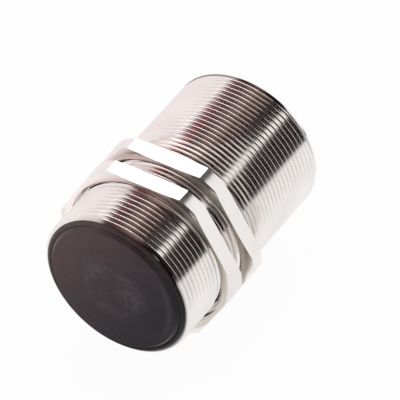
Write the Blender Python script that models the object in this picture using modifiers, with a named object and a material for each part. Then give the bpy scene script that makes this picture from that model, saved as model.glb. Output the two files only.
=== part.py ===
"""Inductive distance sensor: a threaded barrel with a plastic sensing cap, two lock nuts and a plug connector.

The origin is the centre of the sensing face. The barrel runs along +Y from there, and +Z is up. The
sensor lies on its lock nuts, with a flat of each nut facing down.
"""

import math

import bmesh
import bpy
from mathutils import Matrix

MM = 0.001

# Clearances
SEAT_GAP = 0.25 * MM  # between a piece and what it rests against
SLIP_GAP = 0.2 * MM  # around a piece that is pushed into a bore

# Threaded sleeve
BARREL_DIAMETER = 42.0 * MM
SLEEVE_LENGTH = 61.5 * MM
SLEEVE_WALL = 2.4 * MM
FRONT_CHAMFER = 0.9 * MM
REAR_CHAMFER = 1.1 * MM
BORE_CHAMFER = 0.3 * MM

# Sensing cap
CAP_PROUD = 1.5 * MM  # how far the sensing face stands in front of the sleeve
CAP_FACE_THICKNESS = 1.6 * MM
CAP_BEVEL = 0.8 * MM
CAP_LIP_WIDTH = 1.4 * MM
CAP_LIP_ROUND = 0.25 * MM
CAP_LIP_INSET = 0.1 * MM  # how far the lip stays inside the sleeve's front edge
CAP_SKIRT_WALL = 1.6 * MM
CAP_LENGTH = 14.0 * MM

# Sealing rings
RING_GROOVE_DEPTH = 1.1 * MM
RING_GROOVE_SIDE_GAP = 0.3 * MM
FRONT_RING_PLACE = 10.5 * MM  # from the sensing face
REAR_RING_INSET = 2.8 * MM  # in front of the end cap's rear face

# Lock nuts
NUT_RUNNING_GAP = 0.3 * MM  # between the barrel and a nut's bore
NUT_WALL = 1.7 * MM  # from the bore to the middle of a flat
NUT_CORNER_CUT = 1.3 * MM  # turned off each corner of the hexagon
NUT_THICKNESS = 4.5 * MM
NUT_CHAMFER = 0.3 * MM
NUT_CHAMFER_WIDTH = 2.1 * MM
NUT_COUNTERSINK_WIDTH = 0.8 * MM
NUT_COUNTERSINK_DEPTH = 0.7 * MM
FRONT_NUT_PLACE = 14.8 * MM  # from the sensing face
NUT_SPACING = 4.7 * MM

# Coil in its pot core
SHIELD_THICKNESS = 0.5 * MM
CORE_LENGTH = 9.0 * MM
CORE_RIM_SHARE = 0.15  # the rim's wall, of the core's radius
CORE_POST_SHARE = 0.39  # the post's radius, of the core's radius
CORE_HOLE_RADIUS = 2.0 * MM
CORE_SLOT_DEPTH = 6.5 * MM
BOBBIN_HUB_WALL = 0.8 * MM
BOBBIN_FLANGE = 0.7 * MM
WINDING_CROWN = 0.3 * MM
LEAD_HOLE_RADIUS = 0.9 * MM
LEAD_ANGLE = 60.0  # degrees above the board, either side
LEAD_RADIUS = 0.35 * MM
LEAD_LANDING = 6.5 * MM  # how far behind the core holder a lead reaches the board
LEAD_POINTS = 12

# Core holder
HOLDER_THICKNESS = 3.2 * MM
HOLDER_SPIGOT_LENGTH = 5.5 * MM
BOARD_SLOT_DEPTH = 1.5 * MM

# Circuit board and what is soldered to it
BOARD_THICKNESS = 1.6 * MM
BOARD_SIDE_GAP = 0.3 * MM  # to the wall of the sensing cap
CHIP_BEVEL = 0.15 * MM
CHIPS = {
    # name: width, length, height, then its place across and along the board, and the side of the board.
    # A place across is a share of half the board's width, and one along runs from the holder to the pins.
    "oscillator_chip": (6.0 * MM, 5.0 * MM, 1.6 * MM, 0.0, 0.24, 1),
    "microcontroller": (9.0 * MM, 9.0 * MM, 1.4 * MM, 0.0, 0.56, 1),
    "output_amplifier": (6.0 * MM, 5.0 * MM, 1.6 * MM, 0.58, 0.8, 1),
    "voltage_regulator": (6.5 * MM, 6.0 * MM, 2.3 * MM, -0.58, 0.8, 1),
    "protection_diode": (5.0 * MM, 3.6 * MM, 2.2 * MM, 0.0, 0.81, -1),
}
CAPACITOR_COUNT = 3
CAPACITOR_RADIUS = 2.5 * MM
CAPACITOR_HEIGHT = 5.5 * MM
CAPACITOR_EDGE = 0.2 * MM
CAPACITOR_SPACING = 8.0 * MM
CAPACITOR_PLACE = 0.23  # along the board
CHOKE_RADIUS = 4.5 * MM
CHOKE_HEIGHT = 5.0 * MM
CHOKE_WAIST = 1.2 * MM
CHOKE_FLANGE = 0.9 * MM
CHOKE_PLACE = 0.53  # along the board

# Rear end cap
END_CAP_RECESS = 0.4 * MM  # behind the sleeve's rear edge
END_CAP_THICKNESS = 5.6 * MM
END_CAP_WALL = 1.6 * MM
END_CAP_SKIRT = 7.0 * MM
END_CAP_EDGE = 0.4 * MM

# Plug connector
PLUG_THREAD_RADIUS = 6.0 * MM
PLUG_THREAD_LENGTH = 6.7 * MM
PLUG_THREAD_CHAMFER = 0.5 * MM
PLUG_UNDERCUT_LENGTH = 0.8 * MM
PLUG_UNDERCUT_DEPTH = 0.7 * MM
PLUG_COLLAR_STEP = 1.5 * MM  # beyond the thread
PLUG_COLLAR_THICKNESS = 1.4 * MM
PLUG_STEM_STEP = 0.8 * MM  # inside the thread
PLUG_STEM_TAIL = 3.6 * MM  # in front of the end cap's inner face
PLUG_WALL = 1.75 * MM
PLUG_SHOULDER_STEP = 0.65 * MM  # inside the bore
PLUG_SHOULDER_LENGTH = 3.1 * MM
PLUG_SOCKET_DEPTH = 8.0 * MM
GASKET_THICKNESS = 0.6 * MM
PLUG_NUT_WALL = 1.6 * MM  # from the bore to the middle of a flat
PLUG_NUT_THICKNESS = 2.6 * MM
PLUG_NUT_CORNER_CUT = 0.3 * MM
PLUG_NUT_CHAMFER = 0.5 * MM
PLUG_NUT_CHAMFER_WIDTH = 1.0 * MM

# Contacts
PIN_COUNT = 4
PIN_RADIUS = 0.5 * MM
PIN_CIRCLE_SHARE = 0.4  # the pins' circle, of the plug's outer radius
PIN_HOLE_GAP = 0.15 * MM
PIN_TAIL = 3.9 * MM  # in front of the plug's stem
PIN_MOUTH_INSET = 1.0 * MM  # how far a pin's tip stays inside the plug's mouth
KEY_WIDTH = 1.2 * MM
KEY_HEIGHT = 0.7 * MM
KEY_ROOT = 3.0 * MM  # how far the key's foot reaches into the carrier

# Facets round a full turn
LARGE_STEPS = 80
MEDIUM_STEPS = 40
SMALL_STEPS = 20
FINE_STEPS = 12
RING_SECTION_STEPS = 8
PIN_TIP_STEPS = 3

# A hexagon's width across its corners, as a share of its width across flats
CORNER_RATIO = 1 / math.cos(math.pi / 6)

# Radii and widths that follow from the barrel
BARREL_RADIUS = BARREL_DIAMETER / 2
SLEEVE_BORE_RADIUS = BARREL_RADIUS - SLEEVE_WALL
SKIRT_RADIUS = SLEEVE_BORE_RADIUS - SLIP_GAP
SKIRT_INNER_RADIUS = SKIRT_RADIUS - CAP_SKIRT_WALL
SHIELD_RADIUS = SKIRT_INNER_RADIUS - SLIP_GAP
CORE_RADIUS = SHIELD_RADIUS - SHIELD_THICKNESS - SLIP_GAP
CORE_SLOT_RADIUS = CORE_RADIUS * (1 - CORE_RIM_SHARE)
CORE_POST_RADIUS = CORE_RADIUS * CORE_POST_SHARE
LEAD_CIRCLE_RADIUS = (CORE_POST_RADIUS + CORE_SLOT_RADIUS) / 2
BOARD_WIDTH = 2 * (SKIRT_INNER_RADIUS - BOARD_SIDE_GAP)
NUT_BORE_RADIUS = BARREL_RADIUS + NUT_RUNNING_GAP
NUT_ACROSS_FLATS = 2 * (NUT_BORE_RADIUS + NUT_WALL)
NUT_CORNER_RADIUS = NUT_ACROSS_FLATS / 2 * CORNER_RATIO - NUT_CORNER_CUT
NUT_FACE_RADIUS = NUT_CORNER_RADIUS - NUT_CHAMFER_WIDTH
NUT_COUNTERSINK_RADIUS = NUT_BORE_RADIUS + NUT_COUNTERSINK_WIDTH

# Radii that follow from the plug's thread
PLUG_UNDERCUT_RADIUS = PLUG_THREAD_RADIUS - PLUG_UNDERCUT_DEPTH
PLUG_COLLAR_RADIUS = PLUG_THREAD_RADIUS + PLUG_COLLAR_STEP
PLUG_STEM_RADIUS = PLUG_THREAD_RADIUS - PLUG_STEM_STEP
PLUG_HOLE_RADIUS = PLUG_STEM_RADIUS + SLIP_GAP
PLUG_BORE_RADIUS = PLUG_THREAD_RADIUS - PLUG_WALL
PLUG_SHOULDER_RADIUS = PLUG_BORE_RADIUS - PLUG_SHOULDER_STEP
PLUG_NUT_ACROSS_FLATS = 2 * (PLUG_HOLE_RADIUS + PLUG_NUT_WALL)
CARRIER_RADIUS = PLUG_BORE_RADIUS - SLIP_GAP
PIN_CIRCLE_RADIUS = PLUG_THREAD_RADIUS * PIN_CIRCLE_SHARE

# Places along the barrel, measured from the sensing face
SLEEVE_FRONT = CAP_PROUD
SLEEVE_REAR = SLEEVE_FRONT + SLEEVE_LENGTH
CAP_INSIDE = CAP_FACE_THICKNESS + SEAT_GAP
REAR_NUT_PLACE = FRONT_NUT_PLACE + NUT_THICKNESS + NUT_SPACING
CORE_REAR = CAP_INSIDE + CORE_LENGTH
HOLDER_FRONT = CORE_REAR + SEAT_GAP
HOLDER_REAR = HOLDER_FRONT + HOLDER_THICKNESS
BOARD_FRONT = HOLDER_REAR - BOARD_SLOT_DEPTH + SEAT_GAP
END_CAP_REAR = SLEEVE_REAR - END_CAP_RECESS
END_CAP_INSIDE = END_CAP_REAR - END_CAP_THICKNESS
END_CAP_FRONT = END_CAP_INSIDE - END_CAP_SKIRT
STEM_FRONT = END_CAP_INSIDE - PLUG_STEM_TAIL
BOARD_REAR = STEM_FRONT - SEAT_GAP
GASKET_FRONT = END_CAP_REAR + SEAT_GAP
COLLAR_FRONT = GASKET_FRONT + GASKET_THICKNESS + SEAT_GAP
COLLAR_REAR = COLLAR_FRONT + PLUG_COLLAR_THICKNESS
PLUG_REAR = COLLAR_REAR + PLUG_UNDERCUT_LENGTH + PLUG_THREAD_LENGTH
CARRIER_FRONT = STEM_FRONT + PLUG_SHOULDER_LENGTH + SEAT_GAP
CARRIER_REAR = PLUG_REAR - PLUG_SOCKET_DEPTH
PIN_FRONT = STEM_FRONT - PIN_TAIL
PIN_REAR = PLUG_REAR - PIN_MOUTH_INSET

# A quarter turn about X that lays a shape's own Z axis along the barrel
ALONG_BARREL = (-math.pi / 2, 0, 0)
UPRIGHT = (0, 0, 0)


def clear_scene():
    for thing in list(bpy.data.objects):
        bpy.data.objects.remove(thing, do_unlink=True)


def new_collection(name):
    collection = bpy.data.collections.new(name)
    bpy.context.scene.collection.children.link(collection)
    return collection


def new_material(name, colour, roughness, metallic=0.0):
    material = bpy.data.materials.new(name)
    material.use_nodes = True
    shader = material.node_tree.nodes["Principled BSDF"]
    shader.inputs["Base Color"].default_value = (*colour, 1)
    shader.inputs["Roughness"].default_value = roughness
    shader.inputs["Metallic"].default_value = metallic
    material.diffuse_color = (*colour, 1)
    return material


clear_scene()
PARTS = new_collection("inductive_distance_sensor")
CUTTERS = new_collection("cutters")

NICKEL = new_material("nickel_plated_brass", (0.82, 0.79, 0.76), 0.16, 1.0)
BLACK_PLASTIC = new_material("black_moulded_plastic", (0.055, 0.05, 0.052), 0.55)
BLACK_RUBBER = new_material("black_rubber", (0.03, 0.03, 0.03), 0.7)
FERRITE = new_material("dark_ferrite", (0.08, 0.08, 0.085), 0.6)
NATURAL_NYLON = new_material("natural_nylon", (0.78, 0.74, 0.64), 0.5)
COPPER_WIRE = new_material("enamelled_copper", (0.72, 0.32, 0.12), 0.35, 1.0)
SHIELD_BRASS = new_material("shield_brass", (0.75, 0.58, 0.28), 0.3, 1.0)
BOARD_GREEN = new_material("glass_fibre_board", (0.04, 0.2, 0.09), 0.45)
CHIP_BLACK = new_material("chip_epoxy", (0.025, 0.025, 0.028), 0.5)
CAN_METAL = new_material("capacitor_can", (0.7, 0.7, 0.7), 0.35, 1.0)
PIN_GOLD = new_material("gold_plated_brass", (0.9, 0.68, 0.3), 0.2, 1.0)


def place(mesh, name, location, rotation, material, collection):
    piece = bpy.data.objects.new(name, mesh)
    piece.location = location
    piece.rotation_euler = rotation
    if material:
        mesh.materials.append(material)
    collection.objects.link(piece)
    if collection is CUTTERS:
        piece.hide_render = True
        piece.display_type = "WIRE"
    return piece


def mesh_of(name, shape):
    mesh = bpy.data.meshes.new(name)
    shape.to_mesh(mesh)
    shape.free()
    return mesh


def turned(name, profile, steps, material=None, location=(0, 0, 0), rotation=ALONG_BARREL, collection=None):
    """A body turned about its own Z axis.

    The profile lists (radius, distance along the axis). It runs down the outer side from the far end to
    the near end, and back up the bore. A profile that starts and ends on the axis is left open there.
    """
    shape = bmesh.new()
    corners = [shape.verts.new((radius, 0, along)) for radius, along in profile]
    for first, second in zip(corners, corners[1:]):
        shape.edges.new((first, second))
    if profile[0][0] > 0:
        shape.edges.new((corners[-1], corners[0]))
    piece = place(mesh_of(name, shape), name, location, rotation, material, collection or PARTS)
    screw = piece.modifiers.new("turn", "SCREW")
    screw.steps = steps
    screw.render_steps = steps
    screw.use_merge_vertices = True
    screw.merge_threshold = 0.000001
    return piece


def box(name, size, centre, material=None, bevel=0.0, collection=None):
    shape = bmesh.new()
    bmesh.ops.create_cube(shape, size=1, matrix=Matrix.Diagonal((*size, 1)))
    piece = place(mesh_of(name, shape), name, centre, UPRIGHT, material, collection or PARTS)
    if bevel:
        rounding = piece.modifiers.new("edges", "BEVEL")
        rounding.width = bevel
        rounding.segments = 2
        rounding.limit_method = "ANGLE"
    return piece


def drill(name, radius, length, location, steps=FINE_STEPS, rotation=ALONG_BARREL):
    shape = bmesh.new()
    bmesh.ops.create_cone(
        shape, cap_ends=True, segments=steps, radius1=radius, radius2=radius, depth=length
    )
    return place(mesh_of(name, shape), name, location, rotation, None, CUTTERS)


def hexagon_cutter(name, across_flats, length, location):
    """A hexagonal bar along the barrel with a pair of flats facing up and down."""
    shape = bmesh.new()
    corner = across_flats / 2 * CORNER_RATIO
    bmesh.ops.create_cone(
        shape, cap_ends=True, segments=6, radius1=corner, radius2=corner, depth=length
    )
    bmesh.ops.rotate(shape, verts=shape.verts, matrix=Matrix.Rotation(math.pi / 2, 3, "Z"))
    return place(mesh_of(name, shape), name, location, ALONG_BARREL, None, CUTTERS)


def combine(piece, other, operation):
    step = piece.modifiers.new(operation.lower(), "BOOLEAN")
    step.operation = operation
    step.solver = "EXACT"
    step.object = other


def rounded_corner(centre_radius, centre_along, size, start, end, steps):
    """Points of an arc in a turned profile, from one angle to the other in degrees."""
    for index in range(steps + 1):
        angle = math.radians(start + (end - start) * index / steps)
        yield centre_radius + size * math.cos(angle), centre_along + size * math.sin(angle)


def threaded_sleeve():
    turned(
        "threaded_sleeve",
        [
            (BARREL_RADIUS - REAR_CHAMFER, SLEEVE_REAR),
            (BARREL_RADIUS, SLEEVE_REAR - REAR_CHAMFER),
            (BARREL_RADIUS, SLEEVE_FRONT + FRONT_CHAMFER),
            (BARREL_RADIUS - FRONT_CHAMFER, SLEEVE_FRONT),
            (SLEEVE_BORE_RADIUS + BORE_CHAMFER, SLEEVE_FRONT),
            (SLEEVE_BORE_RADIUS, SLEEVE_FRONT + BORE_CHAMFER),
            (SLEEVE_BORE_RADIUS, SLEEVE_REAR - BORE_CHAMFER),
            (SLEEVE_BORE_RADIUS + BORE_CHAMFER, SLEEVE_REAR),
        ],
        LARGE_STEPS,
        NICKEL,
    )


def ring_groove(radius, middle):
    """The four corners of a sealing ring's groove, from its rear edge to its front edge."""
    floor = radius - RING_GROOVE_DEPTH
    half_width = ring_section_radius(floor) + RING_GROOVE_SIDE_GAP
    return [
        (radius, middle + half_width),
        (floor, middle + half_width),
        (floor, middle - half_width),
        (radius, middle - half_width),
    ]


def ring_section_radius(floor):
    return (SLEEVE_BORE_RADIUS - floor) / 2 - SLIP_GAP


def sealing_ring(name, groove_radius, middle):
    """A round rubber ring between the floor of its groove and the sleeve's bore."""
    floor = groove_radius - RING_GROOVE_DEPTH
    section = ring_section_radius(floor)
    centre = (SLEEVE_BORE_RADIUS + floor) / 2
    outline = list(rounded_corner(centre, middle, section, 360, 0, RING_SECTION_STEPS))
    turned(name, outline[:-1], MEDIUM_STEPS, BLACK_RUBBER)


def sensing_cap():
    """A moulded cup: a raised face, a lip that covers the sleeve's end and a skirt inside the bore."""
    lip_radius = BARREL_RADIUS - FRONT_CHAMFER - CAP_LIP_INSET
    face_radius = lip_radius - CAP_LIP_WIDTH - CAP_BEVEL
    lip_rear = SLEEVE_FRONT - SEAT_GAP
    lip_edge = rounded_corner(
        lip_radius - CAP_LIP_ROUND, CAP_BEVEL + CAP_LIP_ROUND, CAP_LIP_ROUND, 0, -90, 3
    )
    turned(
        "sensing_cap",
        [
            (SKIRT_RADIUS, CAP_LENGTH),
            *ring_groove(SKIRT_RADIUS, FRONT_RING_PLACE),
            (SKIRT_RADIUS, lip_rear),
            (lip_radius, lip_rear),
            *lip_edge,
            (face_radius + CAP_BEVEL, CAP_BEVEL),
            (face_radius, 0),
            (0, 0),
            (0, CAP_FACE_THICKNESS),
            (SKIRT_INNER_RADIUS, CAP_FACE_THICKNESS),
            (SKIRT_INNER_RADIUS, CAP_LENGTH),
        ],
        LARGE_STEPS,
        BLACK_PLASTIC,
    )


def lock_nut(name, along):
    """A thin hexagon nut with its corners turned off, both faces chamfered and the bore countersunk."""
    nut = turned(
        name,
        [
            (NUT_FACE_RADIUS, NUT_THICKNESS),
            (NUT_CORNER_RADIUS, NUT_THICKNESS - NUT_CHAMFER),
            (NUT_CORNER_RADIUS, NUT_CHAMFER),
            (NUT_FACE_RADIUS, 0),
            (NUT_COUNTERSINK_RADIUS, 0),
            (NUT_BORE_RADIUS, NUT_COUNTERSINK_DEPTH),
            (NUT_BORE_RADIUS, NUT_THICKNESS - NUT_COUNTERSINK_DEPTH),
            (NUT_COUNTERSINK_RADIUS, NUT_THICKNESS),
        ],
        LARGE_STEPS,
        NICKEL,
        (0, along, 0),
    )
    middle = (0, along + NUT_THICKNESS / 2, 0)
    combine(nut, hexagon_cutter(f"{name}_flats", NUT_ACROSS_FLATS, 2 * NUT_THICKNESS, middle), "INTERSECT")


def lead_places():
    """Where the two coil leads pass through the core and its holder: (x, z)."""
    angle = math.radians(LEAD_ANGLE)
    across = LEAD_CIRCLE_RADIUS * math.cos(angle)
    height = LEAD_CIRCLE_RADIUS * math.sin(angle)
    return {"a": (across, height), "b": (-across, height)}


def ferrite_core():
    """A pot core: a disc with a centre post and a rim, open towards the sensing face."""
    slot_floor = CAP_INSIDE + CORE_SLOT_DEPTH
    core = turned(
        "ferrite_core",
        [
            (CORE_RADIUS, CORE_REAR),
            (CORE_RADIUS, CAP_INSIDE),
            (CORE_SLOT_RADIUS, CAP_INSIDE),
            (CORE_SLOT_RADIUS, slot_floor),
            (CORE_POST_RADIUS, slot_floor),
            (CORE_POST_RADIUS, CAP_INSIDE),
            (CORE_HOLE_RADIUS, CAP_INSIDE),
            (CORE_HOLE_RADIUS, CORE_REAR),
        ],
        MEDIUM_STEPS,
        FERRITE,
    )
    for side, (across, height) in lead_places().items():
        hole = drill(f"core_hole_{side}", LEAD_HOLE_RADIUS, CORE_LENGTH, (across, CORE_REAR, height))
        combine(core, hole, "DIFFERENCE")


def coil_bobbin():
    """A flanged nylon reel in the core's slot."""
    front = CAP_INSIDE + SEAT_GAP
    rear = CAP_INSIDE + CORE_SLOT_DEPTH - SEAT_GAP
    bore = CORE_POST_RADIUS + SLIP_GAP
    hub = bore + BOBBIN_HUB_WALL
    rim = CORE_SLOT_RADIUS - SLIP_GAP
    turned(
        "coil_bobbin",
        [
            (rim, rear),
            (rim, rear - BOBBIN_FLANGE),
            (hub, rear - BOBBIN_FLANGE),
            (hub, front + BOBBIN_FLANGE),
            (rim, front + BOBBIN_FLANGE),
            (rim, front),
            (bore, front),
            (bore, rear),
        ],
        MEDIUM_STEPS,
        NATURAL_NYLON,
    )
    coil_winding(front + BOBBIN_FLANGE, rear - BOBBIN_FLANGE, hub, rim)


def coil_winding(front, rear, hub, rim):
    """The wound copper, slightly crowned between the reel's flanges."""
    outer = rim - 2 * WINDING_CROWN
    turned(
        "coil_winding",
        [
            (outer, rear - SLIP_GAP),
            (outer + WINDING_CROWN, (front + rear) / 2),
            (outer, front + SLIP_GAP),
            (hub + SLIP_GAP, front + SLIP_GAP),
            (hub + SLIP_GAP, rear - SLIP_GAP),
        ],
        MEDIUM_STEPS,
        COPPER_WIRE,
    )


def shield_ring():
    """A thin brass band between the core and the cap's skirt."""
    turned(
        "shield_ring",
        [
            (SHIELD_RADIUS, CORE_REAR),
            (SHIELD_RADIUS, CAP_INSIDE),
            (SHIELD_RADIUS - SHIELD_THICKNESS, CAP_INSIDE),
            (SHIELD_RADIUS - SHIELD_THICKNESS, CORE_REAR),
        ],
        MEDIUM_STEPS,
        SHIELD_BRASS,
    )


def core_holder():
    """A nylon disc behind the core, with a spigot in the core's hole and a slot for the board."""
    spigot = CORE_HOLE_RADIUS - SLIP_GAP
    holder = turned(
        "core_holder",
        [
            (0, HOLDER_REAR),
            (SKIRT_INNER_RADIUS - SLIP_GAP, HOLDER_REAR),
            (SKIRT_INNER_RADIUS - SLIP_GAP, HOLDER_FRONT),
            (spigot, HOLDER_FRONT),
            (spigot, HOLDER_FRONT - HOLDER_SPIGOT_LENGTH),
            (0, HOLDER_FRONT - HOLDER_SPIGOT_LENGTH),
        ],
        MEDIUM_STEPS,
        NATURAL_NYLON,
    )
    slot = box(
        "board_slot",
        (3 * SKIRT_INNER_RADIUS, 2 * BOARD_SLOT_DEPTH, BOARD_THICKNESS + 2 * SLIP_GAP),
        (0, HOLDER_REAR, 0),
        collection=CUTTERS,
    )
    combine(holder, slot, "DIFFERENCE")
    for side, (across, height) in lead_places().items():
        hole = drill(f"holder_hole_{side}", LEAD_HOLE_RADIUS, 3 * HOLDER_THICKNESS, (across, HOLDER_REAR, height))
        combine(holder, hole, "DIFFERENCE")


def coil_leads():
    """Two wires from the reel, straight through the core and holder and then down to the board."""
    landing_height = BOARD_THICKNESS / 2 + SEAT_GAP + LEAD_RADIUS
    start = CAP_INSIDE + CORE_SLOT_DEPTH + SEAT_GAP
    for side, (across, height) in lead_places().items():
        points = [(across, start, height)]
        for index in range(LEAD_POINTS):
            share = index / (LEAD_POINTS - 1)
            drop = (1 - math.cos(math.pi * share)) / 2
            along = HOLDER_REAR + LEAD_RADIUS + LEAD_LANDING * share
            points.append((across, along, height + (landing_height - height) * drop))
        wire("coil_lead_" + side, points, LEAD_RADIUS, COPPER_WIRE)


def wire(name, points, radius, material):
    curve = bpy.data.curves.new(name, "CURVE")
    curve.dimensions = "3D"
    curve.bevel_depth = radius
    curve.bevel_resolution = 2
    curve.use_fill_caps = True
    spline = curve.splines.new("POLY")
    spline.points.add(len(points) - 1)
    for point, place_of_point in zip(spline.points, points):
        point.co = (*place_of_point, 1)
    curve.materials.append(material)
    PARTS.objects.link(bpy.data.objects.new(name, curve))


def circuit_board():
    box(
        "circuit_board",
        (BOARD_WIDTH, BOARD_REAR - BOARD_FRONT, BOARD_THICKNESS),
        (0, (BOARD_FRONT + BOARD_REAR) / 2, 0),
        BOARD_GREEN,
    )


def along_board(share):
    """A place on the free stretch of the board, from the core holder to the connector's pins."""
    return HOLDER_REAR + share * (PIN_FRONT - HOLDER_REAR)


def chips():
    for name, (width, length, height, across, along, side) in CHIPS.items():
        level = side * (BOARD_THICKNESS / 2 + SEAT_GAP + height / 2)
        centre = (across * BOARD_WIDTH / 2, along_board(along), level)
        box(name, (width, length, height), centre, CHIP_BLACK, CHIP_BEVEL)


def filter_capacitors():
    """Round cans that stand under the board in a row across it."""
    top = -BOARD_THICKNESS / 2 - SEAT_GAP
    for index in range(CAPACITOR_COUNT):
        across = (index - (CAPACITOR_COUNT - 1) / 2) * CAPACITOR_SPACING
        turned(
            f"filter_capacitor_{index + 1}",
            [
                (0, 0),
                (CAPACITOR_RADIUS, 0),
                (CAPACITOR_RADIUS, CAPACITOR_EDGE - CAPACITOR_HEIGHT),
                (CAPACITOR_RADIUS - CAPACITOR_EDGE, -CAPACITOR_HEIGHT),
                (0, -CAPACITOR_HEIGHT),
            ],
            SMALL_STEPS,
            CAN_METAL,
            (across, along_board(CAPACITOR_PLACE), top),
            UPRIGHT,
        )


def filter_choke():
    """A ferrite drum, waisted for its winding, under the board."""
    top = -BOARD_THICKNESS / 2 - SEAT_GAP
    waist = CHOKE_RADIUS - CHOKE_WAIST
    turned(
        "filter_choke",
        [
            (0, 0),
            (CHOKE_RADIUS, 0),
            (CHOKE_RADIUS, -CHOKE_FLANGE),
            (waist, -CHOKE_FLANGE),
            (waist, CHOKE_FLANGE - CHOKE_HEIGHT),
            (CHOKE_RADIUS, CHOKE_FLANGE - CHOKE_HEIGHT),
            (CHOKE_RADIUS, -CHOKE_HEIGHT),
            (0, -CHOKE_HEIGHT),
        ],
        SMALL_STEPS,
        FERRITE,
        (0, along_board(CHOKE_PLACE), top),
        UPRIGHT,
    )


def rear_end_cap():
    """A moulded plug that closes the sleeve, with a skirt inside and a hole for the connector."""
    turned(
        "rear_end_cap",
        [
            (SKIRT_RADIUS - END_CAP_EDGE, END_CAP_REAR),
            (SKIRT_RADIUS, END_CAP_REAR - END_CAP_EDGE),
            *ring_groove(SKIRT_RADIUS, END_CAP_REAR - REAR_RING_INSET),
            (SKIRT_RADIUS, END_CAP_FRONT),
            (SKIRT_RADIUS - END_CAP_WALL, END_CAP_FRONT),
            (SKIRT_RADIUS - END_CAP_WALL, END_CAP_INSIDE),
            (PLUG_HOLE_RADIUS, END_CAP_INSIDE),
            (PLUG_HOLE_RADIUS, END_CAP_REAR),
        ],
        MEDIUM_STEPS,
        BLACK_PLASTIC,
    )


def connector_shell():
    """The plug's metal shell: a threaded nose, a collar and a stem through the end cap."""
    undercut_rear = COLLAR_REAR + PLUG_UNDERCUT_LENGTH
    turned(
        "connector_shell",
        [
            (PLUG_THREAD_RADIUS - PLUG_THREAD_CHAMFER, PLUG_REAR),
            (PLUG_THREAD_RADIUS, PLUG_REAR - PLUG_THREAD_CHAMFER),
            (PLUG_THREAD_RADIUS, undercut_rear),
            (PLUG_UNDERCUT_RADIUS, undercut_rear),
            (PLUG_UNDERCUT_RADIUS, COLLAR_REAR),
            (PLUG_COLLAR_RADIUS, COLLAR_REAR),
            (PLUG_COLLAR_RADIUS, COLLAR_FRONT),
            (PLUG_STEM_RADIUS, COLLAR_FRONT),
            (PLUG_STEM_RADIUS, STEM_FRONT),
            (PLUG_SHOULDER_RADIUS, STEM_FRONT),
            (PLUG_SHOULDER_RADIUS, STEM_FRONT + PLUG_SHOULDER_LENGTH),
            (PLUG_BORE_RADIUS, STEM_FRONT + PLUG_SHOULDER_LENGTH),
            (PLUG_BORE_RADIUS, PLUG_REAR),
        ],
        MEDIUM_STEPS,
        NICKEL,
    )


def connector_gasket():
    """A flat rubber ring under the connector's collar."""
    rear = GASKET_FRONT + GASKET_THICKNESS
    turned(
        "connector_gasket",
        [
            (PLUG_COLLAR_RADIUS, rear),
            (PLUG_COLLAR_RADIUS, GASKET_FRONT),
            (PLUG_HOLE_RADIUS, GASKET_FRONT),
            (PLUG_HOLE_RADIUS, rear),
        ],
        MEDIUM_STEPS,
        BLACK_RUBBER,
    )


def connector_lock_nut():
    """The nut that draws the connector's collar against the end cap from inside."""
    rear = END_CAP_INSIDE - SEAT_GAP
    front = rear - PLUG_NUT_THICKNESS
    corner = PLUG_NUT_ACROSS_FLATS / 2 * CORNER_RATIO - PLUG_NUT_CORNER_CUT
    face = corner - PLUG_NUT_CHAMFER_WIDTH
    nut = turned(
        "connector_lock_nut",
        [
            (face, rear),
            (corner, rear - PLUG_NUT_CHAMFER),
            (corner, front + PLUG_NUT_CHAMFER),
            (face, front),
            (PLUG_HOLE_RADIUS, front),
            (PLUG_HOLE_RADIUS, rear),
        ],
        MEDIUM_STEPS,
        NICKEL,
    )
    middle = (0, (front + rear) / 2, 0)
    cutter = hexagon_cutter("connector_nut_flats", PLUG_NUT_ACROSS_FLATS, 2 * PLUG_NUT_THICKNESS, middle)
    combine(nut, cutter, "INTERSECT")


def pin_places():
    for index in range(PIN_COUNT):
        angle = 2 * math.pi * (index + 0.5) / PIN_COUNT
        yield PIN_CIRCLE_RADIUS * math.cos(angle), PIN_CIRCLE_RADIUS * math.sin(angle)


def contact_carrier():
    """The plastic insert that holds the pins, with the key that keeps the mating plug from turning."""
    carrier = turned(
        "contact_carrier",
        [
            (0, CARRIER_REAR),
            (CARRIER_RADIUS, CARRIER_REAR),
            (CARRIER_RADIUS, CARRIER_FRONT),
            (0, CARRIER_FRONT),
        ],
        MEDIUM_STEPS,
        BLACK_PLASTIC,
    )
    key_front = CARRIER_REAR - KEY_ROOT
    key_top = math.sqrt(CARRIER_RADIUS**2 - (KEY_WIDTH / 2) ** 2) - PIN_HOLE_GAP
    key = box(
        "carrier_key",
        (KEY_WIDTH, PIN_REAR - key_front, KEY_HEIGHT),
        (0, (key_front + PIN_REAR) / 2, key_top - KEY_HEIGHT / 2),
        collection=CUTTERS,
    )
    combine(carrier, key, "UNION")
    length = 2 * (CARRIER_REAR - CARRIER_FRONT)
    middle = (CARRIER_FRONT + CARRIER_REAR) / 2
    for index, (across, height) in enumerate(pin_places(), 1):
        hole = drill(f"pin_hole_{index}", PIN_RADIUS + PIN_HOLE_GAP, length, (across, middle, height))
        combine(carrier, hole, "DIFFERENCE")


def contact_pins():
    """Round pins with a domed tip, soldered to the board's end on both sides."""
    dome = list(rounded_corner(0, PIN_REAR - PIN_RADIUS, PIN_RADIUS, 90, 0, PIN_TIP_STEPS))
    profile = [(0, PIN_REAR), *dome[1:], (PIN_RADIUS, PIN_FRONT), (0, PIN_FRONT)]
    for index, (across, height) in enumerate(pin_places(), 1):
        turned(f"contact_pin_{index}", profile, FINE_STEPS, PIN_GOLD, (across, 0, height))


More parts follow.
